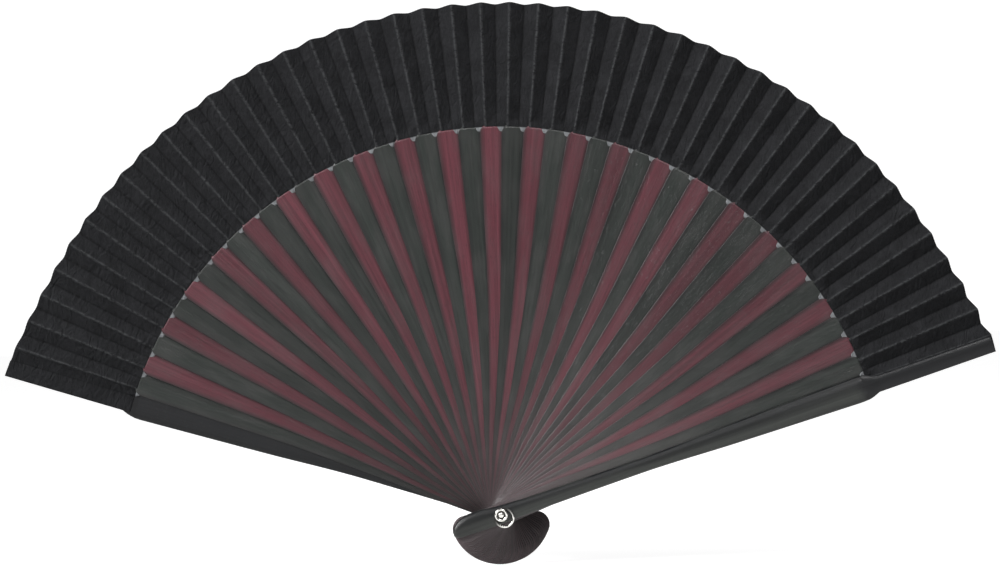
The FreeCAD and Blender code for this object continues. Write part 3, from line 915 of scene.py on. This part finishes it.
class LeafPlan:
    """Where each line of the pleated leaf runs, open or closed."""

    def __init__(self, sticks, guards, leaf):
        self.sticks, self.leaf = sticks, leaf
        self.quarter = math.tan(sticks.spread / PITCHES / 4)
        self.end_level = guards.outer - 1.18 * MM
        self.lines = []
        for stick in range(PITCHES + 1):
            self.lines += [(stick, False, t) for t in STICK_STEPS]
            if stick < PITCHES:
                self.lines += [(stick, True, t) for t in FREE_STEPS]
        self.lines.append((PITCHES, False, 1.0))

    def level(self, stick):
        """Level of the middle of a stick."""
        return (PITCHES / 2 - stick) * self.sticks.layer

    def fold(self, radius):
        """Slope of the pleats, a little flatter where the ribs' slips start to turn."""
        share = eased((radius - FOLD_START) / (FOLD_FULL - FOLD_START))
        return math.tan(self.leaf.tilt * share)

    def edge_radius(self, line):
        """Radius of the outer edge on a line, with its scallops and its flared ends."""
        stick, free, t = line
        weight = (stick + t * free) / PITCHES
        lean = abs(math.degrees(lean_of(weight, self.sticks.spread)))
        flare = min(1.0, max(0.0, (lean - FLARE_START) / (FLARE_END - FLARE_START))) ** 2
        wave = (2 * eased(t) - 1) if free else (1 - 2 * eased(t))
        if not free and stick in (0, PITCHES):
            wave *= 0.5
        return self.leaf.outer + self.leaf.flare * flare + self.leaf.scallop * wave

    def closed_place(self, line, radius):
        """Weight, place across and level of a point, seen from the stick under it."""
        stick, free, t = line
        half, slope = radius * self.quarter, self.fold(radius)
        last = PITCHES - 1
        if not free:
            if stick == 0:
                return 0.0, -END_LEFT + (END_LEFT + END_RIGHT) * t, self.end_level
            if stick == PITCHES:
                return 1.0, -END_RIGHT + (END_LEFT + END_RIGHT) * t, -self.end_level
            x = half * (2 * t - 1)
            return stick / PITCHES, x, self.level(stick) + CLOTH_LEVEL + x * slope
        first = END_RIGHT if stick == 0 else half
        final = -END_RIGHT if stick == last else -half
        x = first + (final - first) * t
        if stick == 0:
            start = self.end_level - slope * first
            middle = self.level(1) + BEHIND_SLIP
        else:
            start = self.level(stick) + CLOTH_LEVEL
            middle = start + NESTED
        if stick == last:
            end = -self.end_level - slope * final
        else:
            end = self.level(stick + 1) + CLOTH_LEVEL
        level = start + (middle - start) * eased(t / 0.23)
        level += (end - middle) * eased((t - 0.81) / 0.19)
        return (stick + t) / PITCHES, x, level + x * slope

    def point(self, line, radius):
        """Weight of a point and its place on the open fan."""
        weight, x, y = self.closed_place(line, radius)
        z = math.sqrt(radius * radius - x * x)
        return weight, leaned((x, y, z), lean_of(weight, self.sticks.spread))


class FAN_OT_leaf(bpy.types.Operator):
    """Make the pleated cloth leaf as one sheet that folds with the sticks"""

    bl_idname = "fan.make_leaf"
    bl_label = "Leaf"

    def execute(self, context):
        scene = context.scene
        leaf = scene.fan_leaf
        plan = LeafPlan(scene.fan_sticks, scene.fan_guards, leaf)
        dice = random.Random(9)
        rows = [0.0, 0.006] + [i / 46 for i in range(1, 46)] + [0.994, 1.0]
        points, weights, cloth, folds, fronts, reaches = [], [], [], [], [], []
        turned, before = 0.0, None
        width = 2 * MIDDLE * plan.quarter / MM
        phases = [dice.uniform(0, 2 * math.pi) for _ in range(24)]
        for line in plan.lines:
            stick, free, t = line
            here = Vector(plan.point(line, MIDDLE)[1])
            if before is not None:
                turned += (here - before).length / MIDDLE
            before = here
            outer = plan.edge_radius(line)
            dip = leaf.dip * eased(t / 0.3) * eased((0.84 - t) / 0.3) if free else 0.0
            loose = 4 * t * (1 - t) * (1.0 if free else 0.35)
            on_end = not free and stick in (0, PITCHES)
            long_phase, short_phase = phases[(stick * 5) % 24], phases[stick % 24]
            for share in rows:
                radius = leaf.inner + (outer - leaf.inner) * share - dip * (1 - share) ** 24
                weight, (x, y, z) = plan.point(line, radius)
                wave = math.sin(share * 21 + short_phase) * math.sin(share * 9.3 + long_phase)
                points.append((x, y + RUFFLE * loose * wave, z))
                weights.append(weight)
                cloth.append((radius * math.sin(turned) / MM, radius * math.cos(turned) / MM, 0.0))
                folds.append(9.0 if on_end else width * min(t, 1 - t))
                fronts.append(t if free else 1 - t)
                reaches.append((radius - leaf.inner) / MM)
        count = len(rows)
        faces = []
        for column in range(len(plan.lines) - 1):
            for row in range(count - 1):
                a = column * count + row
                faces.append((a, a + count, a + count + 1, a + 1))
        piece = new_piece("pleated_leaf", points, faces, "leaf_cloth")
        mesh = piece.data
        store(mesh, "cloth", cloth)
        store(mesh, "fold", folds)
        store(mesh, "front", fronts)
        store(mesh, "reach", reaches)
        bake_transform(piece, "rear_guard", "front_guard", start=(-0.2, 0, 0), end=(0.2, 0, 0))
        mesh.attributes["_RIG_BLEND"].data.foreach_set("value", weights)
        solid = piece.modifiers.new("cloth", "SOLIDIFY")
        solid.thickness = leaf.cloth
        solid.offset = 0
        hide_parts("leaf")
        return {"FINISHED"}


# ---------------------------------------------------------------- rivet and ring


ROUND = 72
METAL_CREASE = math.radians(40)


def lathed(name, profile):
    """A turned metal part about the Y axis, from (radius, level) pairs."""
    rings = [[(r * math.cos(a), y, r * math.sin(a)) for a in circle(ROUND)] for r, y in profile]
    piece = skinned(name, rings, "rivet_metal")
    piece.data.set_sharp_from_angle(angle=METAL_CREASE)
    return piece


def hooped(name, section, count=ROUND):
    """A closed metal hoop about the Y axis with this (radius, level) section."""
    points, faces = [], []
    for a in circle(count):
        points += [(r * math.cos(a), y, r * math.sin(a)) for r, y in section]
    n = len(section)
    for i in range(count):
        for j in range(n):
            a = i * n + j
            b = i * n + (j + 1) % n
            c = ((i + 1) % count) * n + (j + 1) % n
            d = ((i + 1) % count) * n + j
            faces.append((a, b, c, d))
    piece = new_piece(name, points, faces, "rivet_metal")
    outward(piece.data)
    piece.data.set_sharp_from_angle(angle=METAL_CREASE)
    return piece


class FAN_OT_rivet(bpy.types.Operator):
    """Make the rivet with its ringed head, its washer and its cap"""

    bl_idname = "fan.make_rivet"
    bl_label = "Rivet"

    def execute(self, context):
        metal = context.scene.fan_metal
        self.post(metal.head, metal.shank)
        self.washer(metal.shank + 0.1 * MM)
        self.cap(metal.shank)
        return {"FINISHED"}

    def post(self, head, shank):
        """The head with its raised rim and button, and the shank behind it."""
        low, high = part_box("rivet_post")
        front, rear = low[1], high[1]
        under = front + 0.9 * MM
        floor = front + 0.45 * MM
        profile = [
            (0.3 * MM, rear), (shank, rear), (shank, under), (head - 0.05 * MM, under),
            (head, front + 0.62 * MM), (head - 0.03 * MM, front + 0.36 * MM),
            (head - 0.16 * MM, front + 0.14 * MM), (head - 0.38 * MM, front + 0.02 * MM),
            (head - 0.62 * MM, front + 0.03 * MM), (head - 0.84 * MM, front + 0.14 * MM),
            (head - 0.98 * MM, front + 0.32 * MM), (head - 1.04 * MM, floor), (1.18 * MM, floor),
            (1.08 * MM, front + 0.30 * MM), (0.92 * MM, front + 0.14 * MM),
            (0.68 * MM, front + 0.04 * MM), (0.40 * MM, front), (0.12 * MM, front + 0.02 * MM),
        ]
        piece = lathed("rivet_headed_post", profile)
        settle(piece, "rear_guard", "rivet_metal", "rivet_post")
        depths = [vertex.co.y - front for vertex in piece.data.vertices]
        # Painted shade in the head's sunk groove and behind it.
        store(piece.data, "metal_painted_shade", [eased((depth - 0.24 * MM) / (0.18 * MM)) for depth in depths])

    def washer(self, inner):
        """A flat ring, open in the middle for the shank."""
        low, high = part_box("rear_washer")
        outer, near, far = high[0], low[1], high[1]
        edge = 0.05 * MM
        section = [
            (inner, near + edge), (inner + edge, near), (outer - edge, near), (outer, near + edge),
            (outer, far - edge), (outer - edge, far), (inner + edge, far), (inner, far - edge),
        ]
        piece = hooped("rivet_back_washer", section)
        settle(piece, "rear_guard", "rivet_metal", "rear_washer")

    def cap(self, shank):
        """The cap pressed on the shank's end, behind the washer."""
        low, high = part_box("rivet_cap")
        wide, near, far = high[0], low[1], high[1]
        section = [
            (shank + 0.02 * MM, near), (wide - 0.08 * MM, near), (wide, near + 0.1 * MM),
            (wide - 0.1 * MM, far - 0.22 * MM), (wide - 0.35 * MM, far - 0.08 * MM),
            (wide - 0.65 * MM, far), (shank + 0.06 * MM, far - 0.03 * MM),
        ]
        piece = hooped("rivet_back_cap", section)
        settle(piece, "rear_guard", "rivet_metal", "rivet_cap")


class FAN_OT_ring(bpy.types.Operator):
    """Make the loose ring that a tassel would hang from"""

    bl_idname = "fan.make_ring"
    bl_label = "Ring"

    def execute(self, context):
        metal = context.scene.fan_metal
        low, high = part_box("tassel_ring")
        centre = [(a + b) / 2 for a, b in zip(low, high)]
        wire = metal.wire
        section = [(metal.ring + wire * math.cos(a), wire * math.sin(a)) for a in circle(20)]
        piece = hooped("tassel_hoop", section, 96)
        # Painted shade on the ring's upper left, towards the rivet's head.
        painted_head_shade = [eased(0.62 + (v.co.z - v.co.x) / (2.2 * metal.ring)) for v in piece.data.vertices]
        store(piece.data, "metal_painted_shade", painted_head_shade)
        piece.data.transform(Matrix.Translation(centre))
        settle(piece, "tassel_ring", "rivet_metal", "tassel_ring")
        return {"FINISHED"}


# ---------------------------------------------------------------- stage

STAGE_REACH = 6.0


def area_light(name, place, across, tall, power):
    """A soft rectangular light at a place, turned to the middle of the fan."""
    lamp = bpy.data.lights.new(name, "AREA")
    lamp.shape = "RECTANGLE"
    lamp.size, lamp.size_y = across, tall
    lamp.energy = power
    holder = bpy.data.objects.new(name, lamp)
    holder.location = place
    way = Vector((0, 0, 0.1)) - Vector(place)
    holder.rotation_euler = way.to_track_quat("-Z", "Y").to_euler()
    holder.visible_camera = False
    bpy.context.scene.collection.objects.link(holder)
    return holder


class FAN_OT_stage(bpy.types.Operator):
    """Make the pale floor and backdrop, the lights and the camera"""

    bl_idname = "fan.set_stage"
    bl_label = "Stage"

    def execute(self, context):
        stage = context.scene.fan_stage
        self.floor()
        self.dome()
        self.lights(stage)
        self.world(context.scene, stage)
        self.camera(context.scene, stage)
        context.scene.view_settings.view_transform = "Standard"
        return {"FINISHED"}

    def floor(self):
        """A broad round floor just under the fan's tails."""
        count, reach = 96, STAGE_REACH
        level = CAD_BOX[0][2] - 0.2 * MM
        points = [(0, 0, level)]
        points += [(reach * math.cos(a), reach * math.sin(a), level) for a in circle(count)]
        faces = [(0, i + 1, (i + 1) % count + 1) for i in range(count)]
        floor = new_piece("stage_floor", points, faces, "stage")
        floor.visible_diffuse = False

    def dome(self):
        """A glowing shell far round the floor, seen only as a pale backdrop."""
        points, faces = [], []
        rows, count = 12, 48
        for row in range(rows):
            up = math.pi * (row / (rows - 1) - 0.5) * 0.98
            reach, height = STAGE_REACH * math.cos(up), STAGE_REACH * math.sin(up)
            points += [(reach * math.cos(a), reach * math.sin(a), height) for a in circle(count)]
        for low in range(0, (rows - 1) * count, count):
            for i in range(count):
                j = (i + 1) % count
                faces.append((low + i, low + j, low + count + j, low + count + i))
        shell = new_piece("stage_dome", points, faces, "backdrop")
        shell.visible_diffuse = False
        shell.visible_glossy = False
        shell.visible_transmission = False
        shell.visible_shadow = False

    def lights(self, stage):
        """A key light, a top light, and two small lights that only show in gloss."""
        area_light("key_light", (-1.5, -0.9, 1.1), 0.9, 0.9, stage.key)
        area_light("top_light", (0.25, -0.55, 1.15), 1.2, 0.35, stage.top)
        for name, place in (("left_sheen", (-0.55, -1.04, 0.65)), ("top_sheen", (0.26, -1.10, 0.69))):
            area_light(name, place, 0.28, 0.28, stage.sheen).visible_diffuse = False

    def world(self, scene, stage):
        """Light from all sides, white from above and dim from below."""
        sky = Shader(bpy.data.worlds.new("fan_world"), "Background")
        way = sky.node("ShaderNodeTexCoord", {}, {}, "Generated")
        inputs = {"Vector": way, "Rotation": (0, math.radians(-75), 0)}
        tipped = sky.node("ShaderNodeMapping", {}, inputs)
        rise = sky.node("ShaderNodeMapRange", {"clamp": True}, {0: tipped.part(0), 1: -0.5, 2: 0.7})
        glow = sky.mix(rise, (0.10, 0.10, 0.105, 1), rgba(WHITE))
        scene.world = sky.finish(Color=glow, Strength=stage.ambient)

    def camera(self, scene, stage):
        """The camera in front of the fan."""
        eye = bpy.data.cameras.new("fan_camera")
        eye.lens = stage.lens
        eye.sensor_width = 36
        eye.clip_start, eye.clip_end = 0.01, 30
        holder = bpy.data.objects.new("fan_camera", eye)
        facing = Matrix.Rotation(math.pi / 2, 4, "X") @ Matrix.Rotation(stage.roll, 4, "Z")
        place = (stage.across, -stage.distance, stage.height)
        holder.matrix_world = Matrix.Translation(place) @ facing
        scene.collection.objects.link(holder)
        scene.camera = holder


# ---------------------------------------------------------------- add-on


class FAN_PT_sidebar(bpy.types.Panel):
    """Buttons and settings of the folding fan"""

    bl_idname = "FAN_PT_sidebar"
    bl_label = "Folding Fan"
    bl_space_type = "VIEW_3D"
    bl_region_type = "UI"
    bl_category = "Folding Fan"

    def draw(self, context):
        for operator in OPERATORS:
            self.layout.operator(operator.bl_idname)
        for group, name in GROUPS:
            box = self.layout.box()
            settings = getattr(context.scene, name)
            for prop in group.__annotations__:
                box.prop(settings, prop)


GROUPS = (
    (FanStickSettings, "fan_sticks"),
    (FanGuardSettings, "fan_guards"),
    (FanLeafSettings, "fan_leaf"),
    (FanMetalSettings, "fan_metal"),
    (FanColourSettings, "fan_colours"),
    (FanStageSettings, "fan_stage"),
)
OPERATORS = (FAN_OT_ribs, FAN_OT_guards, FAN_OT_leaf, FAN_OT_rivet, FAN_OT_ring, FAN_OT_stage)


def register():
    """Add the settings, the operators and the panel."""
    for group, name in GROUPS:
        bpy.utils.register_class(group)
        setattr(bpy.types.Scene, name, bpy.props.PointerProperty(type=group))
    for cls in OPERATORS + (FAN_PT_sidebar,):
        bpy.utils.register_class(cls)


def unregister():
    """Take the panel, the operators and the settings away."""
    for cls in (FAN_PT_sidebar,) + OPERATORS[::-1]:
        bpy.utils.unregister_class(cls)
    for group, name in GROUPS[::-1]:
        delattr(bpy.types.Scene, name)
        bpy.utils.unregister_class(group)


def main():
    """Make the fan and its stage."""
    register()
    bpy.ops.fan.make_ribs()
    bpy.ops.fan.make_guards()
    bpy.ops.fan.make_leaf()
    bpy.ops.fan.make_rivet()
    bpy.ops.fan.make_ring()
    bpy.ops.fan.set_stage()


if __name__ == "__main__":
    main()
